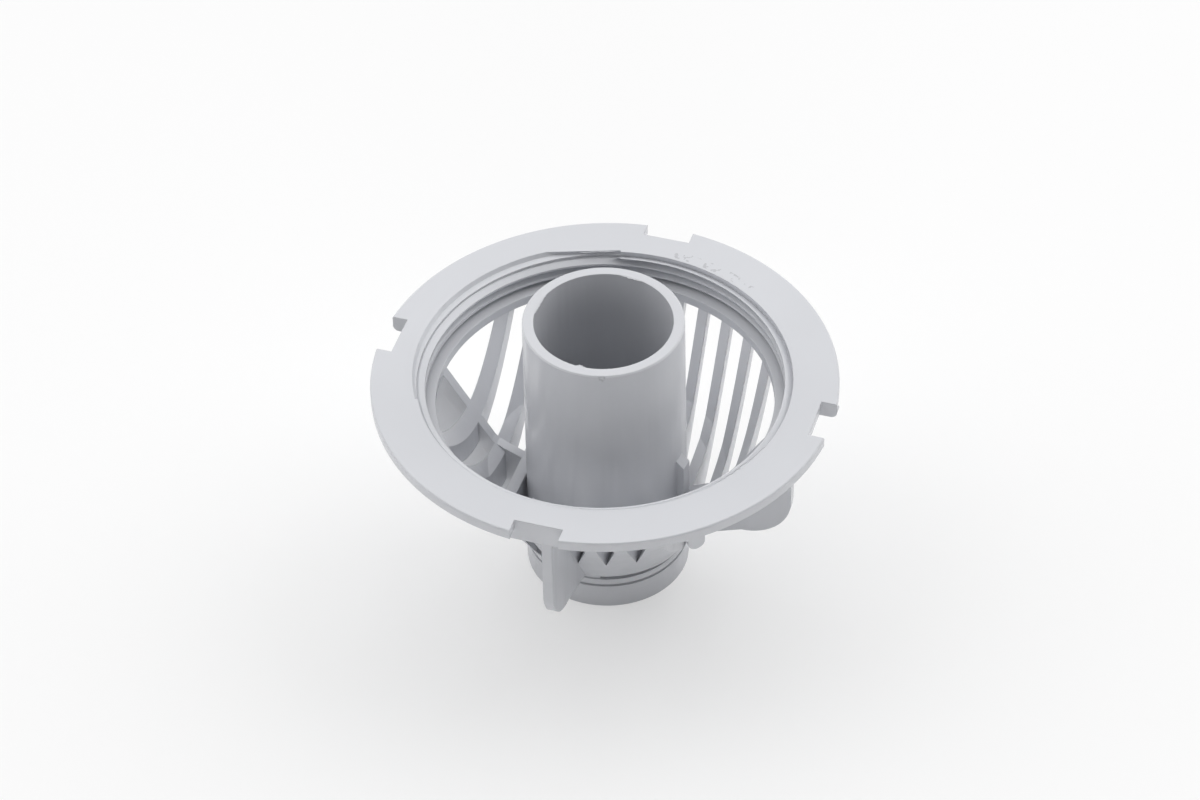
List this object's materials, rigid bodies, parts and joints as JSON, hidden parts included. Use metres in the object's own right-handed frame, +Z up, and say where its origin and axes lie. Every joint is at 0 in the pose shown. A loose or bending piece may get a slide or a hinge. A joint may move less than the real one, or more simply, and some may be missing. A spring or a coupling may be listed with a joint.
{
  "type": "dishwasher filter insert",
  "caption": "Light grey moulded insert: notched threaded ring over a conical basket of parallel bars, with radial fins and an open central tube on a short foot.",
  "frame": {"origin": "centre of the foot's underside, on the tube's axis", "axes": "+Z up along the tube's axis towards its open top; the flange's notches lie 18 degrees clockwise of the X and Y axes, seen from above"},
  "size_m": [0.1, 0.1, 0.068],
  "materials": {
    "grey_plastic": "satin moulded polypropylene"
  },
  "bodies": {
    "root": {"filter_insert": "grey_plastic"}
  },
  "joints": []
}
